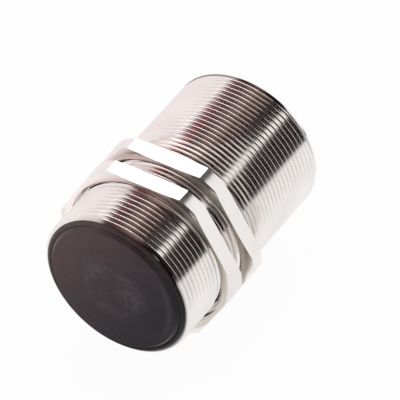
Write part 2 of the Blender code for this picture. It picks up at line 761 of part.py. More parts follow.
def shade_round_faces():
    """Bake each turned or cut piece and shade its round faces smooth."""
    graph = bpy.context.evaluated_depsgraph_get()
    pieces = [piece for piece in PARTS.objects if piece.type == "MESH"]
    baked = [bpy.data.meshes.new_from_object(piece.evaluated_get(graph)) for piece in pieces]
    for piece, mesh in zip(pieces, baked):
        piece.modifiers.clear()
        piece.data = mesh
        mesh.shade_smooth()
        mesh.set_sharp_from_angle(angle=math.radians(30))


threaded_sleeve()
sensing_cap()
sealing_ring("front_seal_ring", SKIRT_RADIUS, FRONT_RING_PLACE)
lock_nut("front_nut", FRONT_NUT_PLACE)
lock_nut("rear_nut", REAR_NUT_PLACE)
ferrite_core()
coil_bobbin()
shield_ring()
core_holder()
coil_leads()
circuit_board()
chips()
filter_capacitors()
filter_choke()
rear_end_cap()
sealing_ring("rear_seal_ring", SKIRT_RADIUS, END_CAP_REAR - REAR_RING_INSET)
connector_shell()
connector_gasket()
connector_lock_nut()
contact_carrier()
contact_pins()
shade_round_faces()
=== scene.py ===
import math

import bmesh
import bpy
from mathutils import Matrix, Vector


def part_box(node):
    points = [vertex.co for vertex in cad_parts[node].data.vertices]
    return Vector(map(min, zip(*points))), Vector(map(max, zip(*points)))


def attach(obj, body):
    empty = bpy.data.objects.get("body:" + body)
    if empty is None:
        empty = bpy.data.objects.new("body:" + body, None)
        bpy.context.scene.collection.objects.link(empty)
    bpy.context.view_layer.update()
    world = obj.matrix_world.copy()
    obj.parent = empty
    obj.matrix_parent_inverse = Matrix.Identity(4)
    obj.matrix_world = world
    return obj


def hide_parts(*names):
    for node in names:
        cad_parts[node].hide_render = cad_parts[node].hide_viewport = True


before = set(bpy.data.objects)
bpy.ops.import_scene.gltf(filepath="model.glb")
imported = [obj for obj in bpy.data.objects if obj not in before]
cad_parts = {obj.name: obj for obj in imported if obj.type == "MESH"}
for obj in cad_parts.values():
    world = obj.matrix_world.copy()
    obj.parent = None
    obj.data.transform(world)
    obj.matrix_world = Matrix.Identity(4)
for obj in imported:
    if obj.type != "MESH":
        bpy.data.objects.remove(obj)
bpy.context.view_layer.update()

MM = 0.001

# Angles above which an edge stays sharp, in degrees
SHARP = 30
MOULDED_SHARP = 40
NUT_SHARP = 20

# Mesh tolerances
MERGE_DISTANCE = 0.0000005
THREAD_MERGE_DISTANCE = 0.000002
CUT_DISTANCE = 0.0000001
RIM_DISTANCE = 0.000001

# Thread forms: shares of the pitch along the barrel, and of the thread's depth below its crest
THREAD_SHAPE = (
    (0.0, 1.0),
    (0.06, 0.97),
    (0.1, 0.88),
    (0.465, 0.0),
    (0.535, 0.0),
    (0.9, 0.88),
    (0.94, 0.97),
)
THREAD_DEPTH = 0.65  # of the pitch
BARREL_PITCH = 1.5 * MM
BARREL_THREAD_START = 0.3 * MM
BARREL_STEPS = 160
PLUG_PITCH = 1.0 * MM
PLUG_THREAD_START = 0.1 * MM
PLUG_STEPS = 72

# Sleeve details that the frame's boxes don't give
SLEEVE_FRONT_CHAMFER = 0.6 * MM
SLEEVE_REAR_CHAMFER = 1.1 * MM
SLEEVE_BORE_RADIUS = 18.6 * MM
BORE_CHAMFER = 0.3 * MM
BORE_SEAM = 1.0 * MM  # a bore's ends stop this short of where they are bridged

# Sensing cap
CAP_FACE_THICKNESS = 1.6 * MM
CAP_BEVEL = 0.8 * MM
CAP_LIP_WIDTH = 1.4 * MM
CAP_BEAD_WIDTH = 0.65 * MM
CAP_BEAD_HEIGHT = 0.62 * MM
CAP_BEAD_TURN = -145  # degrees, from the outermost point forwards
CAP_BEAD_STEPS = 10
CAP_FACE_ROUND = 0.3 * MM
CAP_SKIRT_RADIUS = 18.4 * MM
CAP_SKIRT_INNER_RADIUS = 16.8 * MM
CAP_SHUT_GAP = 0.06 * MM  # between the bead and the sleeve
CAP_STEPS = 192

# Lock nuts
NUT_CHAMFER = 0.3 * MM
NUT_CHAMFER_WIDTH = 2.1 * MM
NUT_BORE_RADIUS = 21.3 * MM
NUT_COUNTERSINK_RADIUS = 22.1 * MM
NUT_COUNTERSINK_DEPTH = 0.7 * MM
NUT_STEPS = 240

# Rear end cap
END_CAP_WALL = 1.6 * MM
END_CAP_PLATE = 5.6 * MM
END_CAP_ROUND = 0.5 * MM
END_CAP_STEPS = 144

# Plug connector
PLUG_RADIUS = 6.0 * MM
PLUG_CHAMFER = 0.5 * MM
PLUG_UNDERCUT_RADIUS = 5.3 * MM
PLUG_UNDERCUT_LENGTH = 0.8 * MM
PLUG_COLLAR_THICKNESS = 1.4 * MM
PLUG_SEAT_GAP = 0.25 * MM  # between the gasket and the collar
PLUG_EDGE = 0.15 * MM
PLUG_STEM_RADIUS = 5.2 * MM
PLUG_HOLE_RADIUS = 5.4 * MM
PLUG_BORE_RADIUS = 4.25 * MM
PLUG_SHOULDER_RADIUS = 3.6 * MM
PLUG_SHOULDER_LENGTH = 3.1 * MM
GASKET_STEPS = 96
PIN_STEPS = 28

# Nickel plate
NICKEL = ((0.87, 0.84, 0.825), (0.79, 0.76, 0.745))  # bright and dull
NICKEL_GLOSS = 0.1
NUT_GLOSS = 0.09
CLOUD_SCALE = 90.0
WEAR_SCALE = 900.0
TURNING_STRETCH = (60.0, 9000.0, 60.0)
BARREL_MARKS = 0.0000012
NUT_MARKS = 0.0000016
INSIDE_MARKS = 0.000002
# Painted shade on the nuts' faces: paler on the left and darker on the right, as the light falls on them
NUT_FACE_PAINTED_SHADES = ((1.0, 0.89, 0.87), (0.66, 0.61, 0.555))  # on the left and on the right
NUT_FACE_PAINTED_SHADE_SPAN = (-6 * MM, 16 * MM)  # where the left shade ends and the right one begins
FACED_SKIN = (0.12 * MM, 0.04 * MM)  # depths at which the faced finish begins and is full
FACED_DULLNESS = 0.24
# Painted shade behind the sleeve's front edge, on the right side only, and a dark line round the rear
# chamfer's corner
EDGE_SHADE_AND_DARK_LINE = (0.1, 0.085, 0.08)
FRONT_PAINTED_SHADE_SPAN = (0.25 * MM, 0.7 * MM)  # behind the sleeve's front edge
FRONT_PAINTED_SHADE_SIDE = (-12 * MM, 2 * MM)  # no painted shade on the left, full on the right
REAR_DARK_LINE_SPAN = (0.1 * MM, 0.2 * MM)  # either side of the rear chamfer's corner

# Sensing face
# The face and rim are painted paler towards the upper left and darker towards the lower right, as the
# light falls on them
FACE_PAINTED_LIGHT_SHADES = ((0.0135, 0.0095, 0.0165), (0.092, 0.056, 0.061))  # lower right and upper left
RIM_PAINTED_LIGHT_SHADES = ((0.004, 0.0035, 0.004), (0.085, 0.054, 0.058))
SMUDGE_SHADE = (0.13, 0.115, 0.125)
PAINTED_SHEEN_SHADE = (0.07, 0.058, 0.075)
DUST_SHADE = (0.32, 0.3, 0.29)
FACE_GRAIN_SCALE = 5200.0
FACE_MOTTLE_SCALE = 230.0
FACE_PATCH_SCALE = 480.0
FACE_WARP_SCALE = 260.0
FACE_WARP = 5 * MM  # how much the smudges' outlines wander
DUST_SCALE = 760.0
DUST_PATCH_SCALE = 300.0
PAINTED_LIGHT_REACH = 16 * MM  # from the middle to where the face is darkest and palest
PAINTED_LIGHT_WANDER = 8 * MM
RING_CENTRE = (-0.6 * MM, -0.8 * MM)
RING_RADIUS = 7.0 * MM
RING_WIDTHS = (0.2 * MM, 1.9 * MM)  # full and faded
RUBBED_SPOTS = (  # centre, full and faded radius, strength
    ((4.8 * MM, 0.4 * MM), (2.5 * MM, 6.0 * MM), 0.65),
    ((-5.4 * MM, 4.4 * MM), (1.5 * MM, 4.6 * MM), 0.5),
)
SMUDGE_STRENGTH = 0.42
DUST_STRENGTH = 0.75
# A painted sheen along the face's edge on the right
PAINTED_SHEEN_RADIUS = 16.4 * MM
PAINTED_SHEEN_WIDTHS = (0.3 * MM, 1.3 * MM)
PAINTED_SHEEN_SIDE = (12.5 * MM, 15.5 * MM)
RIM_SPAN = (17.7 * MM, 18.0 * MM)

# Plain finishes: two close shades, the patches' scale, roughness and metallic
PLAIN_FINISHES = {
    "end_cap_plastic": ((0.045, 0.043, 0.045), (0.065, 0.06, 0.063), 260.0, 0.5, 0.0),
    "gasket_rubber": ((0.02, 0.02, 0.02), (0.035, 0.035, 0.035), 300.0, 0.6, 0.0),
    "contact_gold": ((0.85, 0.62, 0.26), (0.92, 0.72, 0.36), 900.0, 0.22, 1.0),
    "black_rubber": ((0.02, 0.02, 0.02), (0.04, 0.04, 0.04), 300.0, 0.6, 0.0),
    "sintered_ferrite": ((0.06, 0.06, 0.065), (0.11, 0.11, 0.115), 900.0, 0.62, 0.0),
    "natural_nylon": ((0.74, 0.7, 0.6), (0.82, 0.79, 0.7), 160.0, 0.45, 0.0),
    "shield_brass": ((0.7, 0.52, 0.24), (0.82, 0.64, 0.34), 300.0, 0.3, 1.0),
    "chip_epoxy": ((0.02, 0.02, 0.022), (0.035, 0.035, 0.038), 1200.0, 0.5, 0.0),
    "capacitor_can": ((0.6, 0.6, 0.6), (0.75, 0.75, 0.75), 400.0, 0.32, 1.0),
    "carrier_plastic": ((0.03, 0.03, 0.032), (0.05, 0.05, 0.052), 500.0, 0.45, 0.0),
}
PLAIN_GRAIN = 0.00001

# Copper winding and circuit board
COPPER = ((0.42, 0.14, 0.05), (0.75, 0.34, 0.14))
WIRE_SCALE = 1200.0
WIRE_RELIEF = 0.00008
SOLDER_MASK = ((0.02, 0.13, 0.05), (0.05, 0.24, 0.1))
WEAVE_STRETCH = (2600.0, 2600.0, 2600.0)
WEAVE_RELIEF = 0.00002

# Camera, from the fit to the photograph
IMAGE_SIDE = 400
FOCAL_PIXELS = 3383
CAMERA_SENSOR = 36.0
CAMERA_PLACE = Vector((0.33929, -0.47215, 0.58624))
CAMERA_AIM = Vector((0.00105, 0.03826, -0.00061))
CAMERA_ROLL = 1.96  # degrees
CAMERA_CLIP = (0.05, 20)

# Studio cards, seen only in the sensor's reflections, on the walls and ceiling of a cube round it.
# Their spans are offsets per metre of distance from the sensor: along the wall, then up it. On the
# ceiling they are across the sensor, then along it.
ROOM_HALF = 2.0
CEILING_SPANS = ((-0.78, 0.84), (-1.0, 0.4))
FRONT_SPANS = ((-0.72, 0.12), (0.02, 1.0))
FRONT_RIGHT_SPANS = ((0.12, 0.66), (-0.3, 1.0))
RIGHT_SPANS = ((-0.6, 0.5), (0.02, 0.86))
LEFT_SPANS = ((-1.4, 0.9), (-0.5, 1.3))
CEILING_COLOURS = (
    (-0.78, (0.9, 0.86, 0.86)),
    (-0.68, (0.062, 0.018, 0.019)),
    (-0.44, (0.05, 0.016, 0.017)),
    (-0.3, (0.1, 0.052, 0.049)),
    (-0.17, (0.19, 0.115, 0.1)),
    (-0.02, (0.15, 0.09, 0.078)),
    (0.08, (0.06, 0.031, 0.027)),
    (0.21, (0.036, 0.017, 0.015)),
    (0.5, (0.017, 0.007, 0.0075)),
    (0.84, (0.017, 0.007, 0.0075)),
)
FRONT_COLOURS = (
    (-0.72, (0.9, 0.86, 0.86)),
    (-0.64, (0.095, 0.035, 0.036)),
    (-0.45, (0.135, 0.058, 0.058)),
    (-0.2, (0.36, 0.24, 0.215)),
    (-0.06, (0.34, 0.225, 0.2)),
    (0.04, (0.06, 0.035, 0.03)),
    (0.12, (0.013, 0.009, 0.008)),
)
DARK_CARD_COLOUR = (0.017, 0.0065, 0.007)
SLIT_COLOUR = (1.7, 1.64, 1.64)
PINK_CARD_COLOUR = (1.03, 0.97, 0.975)

# Cards that hang free in the room
SLIT_SIZE = (0.38, 1.6)
SLIT_PLACE = (1.845, 0.2, 1.824)
SLIT_FACING = (-0.54, 0, -0.84)
STRIP_SIZE = (0.21, 0.9)
STRIP_PLACE = (0.58, 1.2, 1.49)
STRIP_FACING = (-0.3, -0.6, -0.74)
RED_CARD_PLACE = Vector((-0.072, 0.041, 0.12))
RED_CARD_AIM = Vector((0, 0.03, 0.02))
RED_CARD_COLOUR = (0.52, 0.1, 0.13)
RED_CARD_REACH = 0.03
RED_CARD_CORE = 0.2  # the share of its reach that is evenly red
RED_CARD_COVER = 0.8  # how much of what lies behind it the core hides

# Lamp, floor and room
SOFT_BOX_PLACE = (-0.36, 0.54, 0.62)
SOFT_BOX_SIZE = (0.6, 0.6)
SOFT_BOX_POWER = 1.55
FLOOR_SIZE = (6, 6)
FLOOR_GAP = 0.0002  # below the nuts
FLOOR_SHADE = (0.92, 0.92, 0.92, 1)
FLOOR_WHITE = 0.94  # the share of plain white in what the camera sees of it
ROOM_LIGHT = 0.75  # on matt surfaces
ROOM_WHITE = 1.0  # to the camera and in metal


class Field:
    """A value that varies over a surface, which Python's arithmetic turns into shader maths."""

    def __init__(self, finish, socket):
        self.finish = finish
        self.socket = socket

    def __add__(self, other):
        return self.finish.maths("ADD", self, other)

    def __radd__(self, other):
        return self.finish.maths("ADD", other, self)

    def __sub__(self, other):
        return self.finish.maths("SUBTRACT", self, other)

    def __rsub__(self, other):
        return self.finish.maths("SUBTRACT", other, self)

    def __mul__(self, other):
        return self.finish.maths("MULTIPLY", self, other)

    def __truediv__(self, other):
        return self.finish.maths("DIVIDE", self, other)

    def __pow__(self, other):
        return self.finish.maths("POWER", self, other)

    def __abs__(self):
        return self.finish.maths("ABSOLUTE", self)


class Nodes:
    """A node tree that is built one node at a time."""

    def __init__(self, tree):
        self.tree = tree

    def feed(self, socket, value):
        if isinstance(value, Field):
            self.tree.links.new(value.socket, socket)
        else:
            socket.default_value = value

    def node(self, kind, settings, values, output=0):
        made = self.tree.nodes.new(kind)
        for name, value in settings.items():
            if name == "stops":
                set_stops(made.color_ramp, value)
            else:
                setattr(made, name, value)
        for name, value in values.items():
            self.feed(made.inputs[name], value)
        return Field(self, made.outputs[output])

    def maths(self, operation, *values):
        return self.node("ShaderNodeMath", {"operation": operation}, dict(enumerate(values)))

    def outputs(self, kind, values, *names):
        """Several outputs of one node."""
        made = self.node(kind, {}, values).socket.node
        return [Field(self, made.outputs[name]) for name in names]

    def background_rays(self):
        """1 for the camera's own rays and for those that metal or glass sends on, and 0 for the rest."""
        names = ("Is Camera Ray", "Is Glossy Ray", "Is Transmission Ray")
        camera_ray, glossy_ray, transmission_ray = self.outputs("ShaderNodeLightPath", {}, *names)
        return camera_ray + glossy_ray + transmission_ray


def set_stops(ramp, stops):
    """Fill a colour ramp from (position, colour) pairs."""
    for index, (position, colour) in enumerate(stops):
        stop = ramp.elements[index] if index < 2 else ramp.elements.new(position)
        stop.position = position
        stop.color = (*colour, 1)


class Finish(Nodes):
    """One material on a Principled shader."""

    def __init__(self, name):
        self.material = bpy.data.materials.new(name)
        self.material.use_nodes = True
        super().__init__(self.material.node_tree)
        self.shader = self.tree.nodes["Principled BSDF"]
        self.place = self.node("ShaderNodeTexCoord", {}, {}, "Object")

    def set(self, **values):
        """Set or link the shader's own sockets, named with underscores for spaces."""
        for name, value in values.items():
            self.feed(self.shader.inputs[name.replace("_", " ")], value)

    def axes(self):
        """How far a point is across, along and above the sensor's axis."""
        return self.outputs("ShaderNodeSeparateXYZ", {0: self.place}, "X", "Y", "Z")

    def stretched(self, scale):
        return self.node("ShaderNodeMapping", {}, {"Vector": self.place, "Scale": scale})

    def noise(self, scale, detail=2.0, place=None, roughness=0.5):
        place = place or self.place
        values = {"Vector": place, "Scale": scale, "Detail": detail, "Roughness": roughness}
        return self.node("ShaderNodeTexNoise", {}, values, "Fac")

    def ramp(self, value, low, high, to_low=0.0, to_high=1.0):
        values = {"Value": value, "From Min": low, "From Max": high, "To Min": to_low, "To Max": to_high}
        return self.node("ShaderNodeMapRange", {"clamp": True}, values, "Result")

    def blend(self, share, first, second):
        values = {"Factor": share, 6: (*first, 1) if isinstance(first, tuple) else first}
        values[7] = (*second, 1) if isinstance(second, tuple) else second
        return self.node("ShaderNodeMix", {"data_type": "RGBA"}, values, 2)

    def bump(self, height, distance):
        values = {"Height": height, "Distance": distance, "Strength": 1.0}
        self.set(Normal=self.node("ShaderNodeBump", {}, values))

    def show(self, shader):
        """Use another shader in place of the material's own."""
        self.feed(self.tree.nodes["Material Output"].inputs["Surface"], shader)

    def mixed(self, share, first):
        """The material's own shader laid over another by a varying share."""
        own = Field(self, self.shader.outputs[0])
        return self.node("ShaderNodeMixShader", {}, {0: share, 1: first, 2: own})


def nickel_plate(name, mark_depth, gloss=NICKEL_GLOSS, faces=None, edges=None):
    """Bright nickel with faint turning marks, cloudy patches and fine wear.

    A nut's two faces are duller and carry painted shade, pale on the left and darker on the right. A
    barrel has painted shade behind its front edge on the right side, and a dark line at its rear chamfer.
    """
    finish = Finish(name)
    across, along, _ = finish.axes()
    clouds = finish.noise(CLOUD_SCALE, 3.0)
    wear = finish.ramp(finish.noise(WEAR_SCALE, 4.0, roughness=0.65), 0.62, 0.78)
    marks = finish.noise(1.0, 3.0, finish.stretched(TURNING_STRETCH))
    shade = finish.blend(finish.ramp(clouds, 0.3, 0.7), *NICKEL)
    roughness = gloss + clouds * 0.07 + wear * 0.12
    if faces:
        middle, half = sum(faces) / 2, (faces[1] - faces[0]) / 2
        face = finish.ramp(abs(along - middle), *[half - depth for depth in FACED_SKIN])
        # painted shade: the nut's faces pale on the left and darker on the right
        painted_face_shade = finish.blend(finish.ramp(across, *NUT_FACE_PAINTED_SHADE_SPAN), *NUT_FACE_PAINTED_SHADES)
        shade = finish.blend(face, shade, painted_face_shade)
        roughness = roughness + face * FACED_DULLNESS
    if edges:
        front, rear = edges
        # painted shade behind the front edge, on the right side only, and a dark line at the rear
        # chamfer's corner
        dark = finish.ramp(along - front, *FRONT_PAINTED_SHADE_SPAN, 0.7, 0.0)
        dark = dark * finish.ramp(across, *FRONT_PAINTED_SHADE_SIDE)
        dark = dark + finish.ramp(abs(along - rear), *REAR_DARK_LINE_SPAN, 0.75, 0.0)
        shade = finish.blend(dark, shade, EDGE_SHADE_AND_DARK_LINE)
    finish.set(Base_Color=shade, Metallic=1.0, Roughness=roughness)
    finish.bump(marks + wear * 0.4, mark_depth)
    return finish.material


def sensing_face_plastic():
    """Black moulded plastic: a handled face and a glossy rim, with painted light that makes both paler
    towards one side, and a painted sheen near the face's edge.
    """
    finish = Finish("sensing_face_plastic")
    across, _, height = finish.axes()
    grain = finish.noise(FACE_GRAIN_SCALE, 2.0)
    mottle = finish.ramp(finish.noise(FACE_MOTTLE_SCALE, 3.0), 0.3, 0.7)
    patches = finish.ramp(finish.noise(FACE_PATCH_SCALE, 4.0, roughness=0.6), 0.4, 0.62)
    warp = (finish.noise(FACE_WARP_SCALE, 2.0) - 0.5) * FACE_WARP

    def reach(centre=(0, 0)):
        off_across, off_height = across - centre[0], height - centre[1]
        return (off_across * off_across + off_height * off_height) ** 0.5

    from_centre = reach()
    # painted light: paler towards the upper left, darker towards the lower right
    towards_painted_light = height * 0.6 - across * 0.8 + (mottle - 0.5) * PAINTED_LIGHT_WANDER
    painted_light = finish.ramp(towards_painted_light, -PAINTED_LIGHT_REACH, PAINTED_LIGHT_REACH) ** 1.5
    smudge = finish.ramp(abs(reach(RING_CENTRE) + warp - RING_RADIUS), *RING_WIDTHS, 0.6, 0.0)
    for centre, radii, strength in RUBBED_SPOTS:
        smudge = smudge + finish.ramp(reach(centre) + warp, *radii, strength, 0.0)
    smudge = smudge * (0.25 + patches * 0.75)
    values = {"Vector": finish.place, "Scale": DUST_SCALE}
    specks = finish.ramp(finish.node("ShaderNodeTexVoronoi", {}, values, "Distance"), 0.06, 0.14, 1.0, 0.0)
    dust = specks * finish.ramp(finish.noise(DUST_PATCH_SCALE, 0.0), 0.6, 0.63)
    # painted sheen along the face's edge on the right
    painted_sheen = finish.ramp(abs(from_centre - PAINTED_SHEEN_RADIUS), *PAINTED_SHEEN_WIDTHS, 0.5, 0.0)
    painted_sheen = painted_sheen * finish.ramp(across, *PAINTED_SHEEN_SIDE) * (0.4 + mottle * 0.6)
    rim = finish.ramp(from_centre, *RIM_SPAN)
    shade = finish.blend(painted_light, *FACE_PAINTED_LIGHT_SHADES)
    shade = finish.blend(smudge * SMUDGE_STRENGTH, shade, SMUDGE_SHADE)
    shade = finish.blend(painted_sheen, shade, PAINTED_SHEEN_SHADE)
    shade = finish.blend(dust * DUST_STRENGTH, shade, DUST_SHADE)
    # the rim carries the same painted light as the face
    finish.set(
        Base_Color=finish.blend(rim, shade, finish.blend(painted_light, *RIM_PAINTED_LIGHT_SHADES)),
        Roughness=0.52 + mottle * 0.08 + grain * 0.05 - rim * 0.36,
        Specular_IOR_Level=0.2,
    )
    finish.bump(grain + dust * 2.0, PLAIN_GRAIN)
    return finish.material


def plain_finish(name):
    """A moulded, sintered or drawn surface: two close shades, a varying gloss and a fine grain."""
    first, second, scale, roughness, metallic = PLAIN_FINISHES[name]
    finish = Finish(name)
    patches = finish.noise(scale, 3.0)
    grain = finish.noise(scale * 18, 2.0)
    finish.set(
        Base_Color=finish.blend(patches, first, second),
        Metallic=metallic,
        Roughness=roughness - 0.06 + patches * 0.12,
    )
    finish.bump(grain + patches, PLAIN_GRAIN)
    return finish.material


def wound_copper():
    """Enamelled wire in close turns, which show as fine rings."""
    finish = Finish("wound_copper")
    turns = finish.node(
        "ShaderNodeTexWave",
        {"wave_type": "BANDS", "bands_direction": "Y"},
        {"Vector": finish.place, "Scale": WIRE_SCALE, "Distortion": 0.4, "Detail": 1.0},
        "Fac",
    )
    shade = finish.blend(turns, *COPPER)
    finish.set(Base_Color=shade, Metallic=1.0, Roughness=0.25 + turns * 0.12)
    finish.bump(turns, WIRE_RELIEF)
    return finish.material


def board_laminate():
    """Green solder mask over glass fibre, with the weave faintly showing."""
    finish = Finish("board_laminate")
    place = finish.stretched(WEAVE_STRETCH)
    weave = finish.node("ShaderNodeTexChecker", {}, {"Vector": place, "Scale": 1.0}, "Fac")
    cloud = finish.noise(200.0)
    shade = finish.blend(weave * 0.25 + cloud * 0.5, *SOLDER_MASK)
    finish.set(Base_Color=shade, Roughness=0.3 + cloud * 0.15)
    finish.bump(weave * 0.3 + cloud, WEAVE_RELIEF)
    return finish.material


def finish_piece(name, shape, body, material, nodes, sharp=SHARP):
    """Turn a finished bmesh into a piece that rides on a body and stands for its nodes."""
    mesh = bpy.data.meshes.new(name)
    shape.to_mesh(mesh)
    shape.free()
    mesh.materials.append(material)
    mesh.shade_smooth()
    mesh.set_sharp_from_angle(angle=math.radians(sharp))
    piece = bpy.data.objects.new(name, mesh)
    bpy.context.scene.collection.objects.link(piece)
    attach(piece, body)
    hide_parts(*nodes)


def arc(centre_radius, centre_along, size, start, end, steps=4, depth=None):
    """Points of a rounded corner in a turned profile, between two angles in degrees.

    It is part of a circle, or of an ellipse where its depth along the axis is given.
    """
    for index in range(steps + 1):
        angle = math.radians(start + (end - start) * index / steps)
        yield centre_radius + size * math.cos(angle), centre_along + (depth or size) * math.sin(angle)


def spun(profile, steps, centre=(0.0, 0.0)):
    """A body turned about an axis along the barrel, from (radius, distance from the sensing face)."""
    shape = bmesh.new()
    across, height = centre
    corners = [shape.verts.new((across + radius, along, height)) for radius, along in profile]
    edges = [shape.edges.new(pair) for pair in zip(corners, corners[1:])]
    if profile[0][0] > 0:
        edges.append(shape.edges.new((corners[-1], corners[0])))
    bmesh.ops.spin(
        shape,
        geom=corners + edges,
        cent=(across, 0, height),
        axis=(0, 1, 0),
        angle=2 * math.pi,
        steps=steps,
        use_merge=True,
    )
    bmesh.ops.remove_doubles(shape, verts=shape.verts, dist=MERGE_DISTANCE)
    bmesh.ops.recalc_face_normals(shape, faces=shape.faces)
    return shape


def thread_surface(crest_radius, pitch, front, rear, start, steps):
    """The open helical skin of a right-handed thread, cut square at its front and rear ends."""
    shape = bmesh.new()
    depth = THREAD_DEPTH * pitch
    turns = math.ceil((rear - front) / pitch) + 3
    corners = []
    for turn in range(turns):
        for share, below in THREAD_SHAPE:
            along = front + start + (turn - 2 + share) * pitch
            corners.append(shape.verts.new((crest_radius - depth * below, along, 0)))
    edges = [shape.edges.new(pair) for pair in zip(corners, corners[1:])]
    bmesh.ops.spin(
        shape,
        geom=corners + edges,
        cent=(0, 0, 0),
        axis=(0, 1, 0),
        dvec=(0, pitch / steps, 0),
        angle=2 * math.pi,
        steps=steps,
    )
    bmesh.ops.remove_doubles(shape, verts=shape.verts, dist=THREAD_MERGE_DISTANCE)
    for level, outward in ((front, -1), (rear, 1)):
        bmesh.ops.bisect_plane(
            shape,
            geom=shape.verts[:] + shape.edges[:] + shape.faces[:],
            dist=CUT_DISTANCE,
            plane_co=(0, level, 0),
            plane_no=(0, outward, 0),
            clear_outer=True,
        )
    return shape


def trim_radius(shape, limit_at):
    """Turn the thread down wherever it stands above a chamfer."""
    for vert in shape.verts:
        radius = math.hypot(vert.co.x, vert.co.z)
        share = min(1.0, limit_at(vert.co.y) / radius)
        vert.co.x *= share
        vert.co.z *= share


def extend_rim(shape, level, path):
    """Carry a body's open rim at one level along (radius, distance) steps, and return its last edges."""
    rim = [
        edge
        for edge in shape.edges
        if edge.is_boundary and all(abs(vert.co.y - level) < RIM_DISTANCE for vert in edge.verts)
    ]
    for radius, along in path:
        made = bmesh.ops.extrude_edge_only(shape, edges=rim)["geom"]
        rim = [item for item in made if isinstance(item, bmesh.types.BMEdge)]
        for vert in {vert for edge in rim for vert in edge.verts}:
            share = radius / math.hypot(vert.co.x, vert.co.z)
            vert.co = (vert.co.x * share, along, vert.co.z * share)
    return rim


def threaded_barrel(material):
    """The sleeve with its real thread, chamfered ends and plain bore."""
    low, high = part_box("threaded_sleeve")
    front, rear, radius = low.y, high.y, high.z
    shape = thread_surface(radius, BARREL_PITCH, front, rear, BARREL_THREAD_START, BARREL_STEPS)

    def limit(along):
        return radius - max(
            0,
            SLEEVE_FRONT_CHAMFER - (along - front),
            SLEEVE_REAR_CHAMFER - (rear - along),
        )

    trim_radius(shape, limit)
    middle = (front + rear) / 2
    rims = []
    for level, inward in ((front, 1), (rear, -1)):
        path = [
            (SLEEVE_BORE_RADIUS + BORE_CHAMFER, level),
            (SLEEVE_BORE_RADIUS, level + inward * BORE_CHAMFER),
            (SLEEVE_BORE_RADIUS, middle - inward * BORE_SEAM),
        ]
        rims += extend_rim(shape, level, path)
    bmesh.ops.bridge_loops(shape, edges=rims)
    bmesh.ops.recalc_face_normals(shape, faces=shape.faces)
    finish_piece("threaded_barrel", shape, "barrel", material, ["threaded_sleeve"])


def sensing_cap(material):
    """The cap with its raised face, bevel, rounded bead and skirt."""
    low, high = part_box("sensing_cap")
    sleeve_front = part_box("threaded_sleeve")[0].y
    lip_radius = high.z
    face_radius = lip_radius - CAP_LIP_WIDTH - CAP_BEVEL
    lip_rear = sleeve_front - CAP_SHUT_GAP
    bead = arc(
        lip_radius - CAP_BEAD_WIDTH,
        lip_rear,
        CAP_BEAD_WIDTH,
        0,
        CAP_BEAD_TURN,
        CAP_BEAD_STEPS,
        CAP_BEAD_HEIGHT,
    )
    turn = CAP_FACE_ROUND * math.tan(math.radians(22.5))
    profile = [
        (CAP_SKIRT_RADIUS, high.y),
        (CAP_SKIRT_RADIUS, lip_rear),
        *bead,
        *arc(face_radius - turn, CAP_FACE_ROUND, CAP_FACE_ROUND, -45, -90),
        (0, 0),
        (0, CAP_FACE_THICKNESS),
        (CAP_SKIRT_INNER_RADIUS, CAP_FACE_THICKNESS),
        (CAP_SKIRT_INNER_RADIUS, high.y),
    ]
    shape = spun(profile, CAP_STEPS)
    finish_piece("sensing_face_cap", shape, "barrel", material, ["sensing_cap"], MOULDED_SHARP)


def cut_flats(shape, across_flats):
    """Mill six flats on a turned ring, the first one on top, and close each cut with one face."""
    for side in range(6):
        angle = math.radians(60 * side)
        outward = Vector((math.sin(angle), 0, math.cos(angle)))
        cut = bmesh.ops.bisect_plane(
            shape,
            geom=shape.verts[:] + shape.edges[:] + shape.faces[:],
            dist=CUT_DISTANCE,
            plane_co=outward * across_flats / 2,
            plane_no=outward,
            clear_outer=True,
        )
        rim = [item for item in cut["geom_cut"] if isinstance(item, bmesh.types.BMEdge)]
        bmesh.ops.edgeloop_fill(shape, edges=rim)


def lock_nut(node, material):
    """A thin hexagon nut with turned corners, chamfered faces and a countersunk bore."""
    low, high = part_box(node)
    front, rear, corner = low.y, high.y, high.x
    face = corner - NUT_CHAMFER_WIDTH
    profile = [
        (face, rear),
        (corner, rear - NUT_CHAMFER),
        (corner, front + NUT_CHAMFER),
        (face, front),
        (NUT_COUNTERSINK_RADIUS, front),
        (NUT_BORE_RADIUS, front + NUT_COUNTERSINK_DEPTH),
        (NUT_BORE_RADIUS, rear - NUT_COUNTERSINK_DEPTH),
        (NUT_COUNTERSINK_RADIUS, rear),
    ]
    shape = spun(profile, NUT_STEPS)
    cut_flats(shape, high.z - low.z)
    bmesh.ops.recalc_face_normals(shape, faces=shape.faces)
    finish_piece("milled_" + node, shape, node, material, [node], NUT_SHARP)


def end_cap(material):
    """The moulded plug at the rear, with a softly rounded edge."""
    low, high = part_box("rear_end_cap")
    outer, edge = high.z, END_CAP_ROUND
    inside = high.y - END_CAP_PLATE
    profile = [
        *reversed(list(arc(outer - edge, high.y - edge, edge, 0, 90))),
        (outer, low.y),
        (outer - END_CAP_WALL, low.y),
        (outer - END_CAP_WALL, inside),
        (PLUG_HOLE_RADIUS, inside),
        (PLUG_HOLE_RADIUS, high.y),
    ]
    shape = spun(profile, END_CAP_STEPS)
    finish_piece("moulded_end_cap", shape, "barrel", material, ["rear_end_cap"], MOULDED_SHARP)


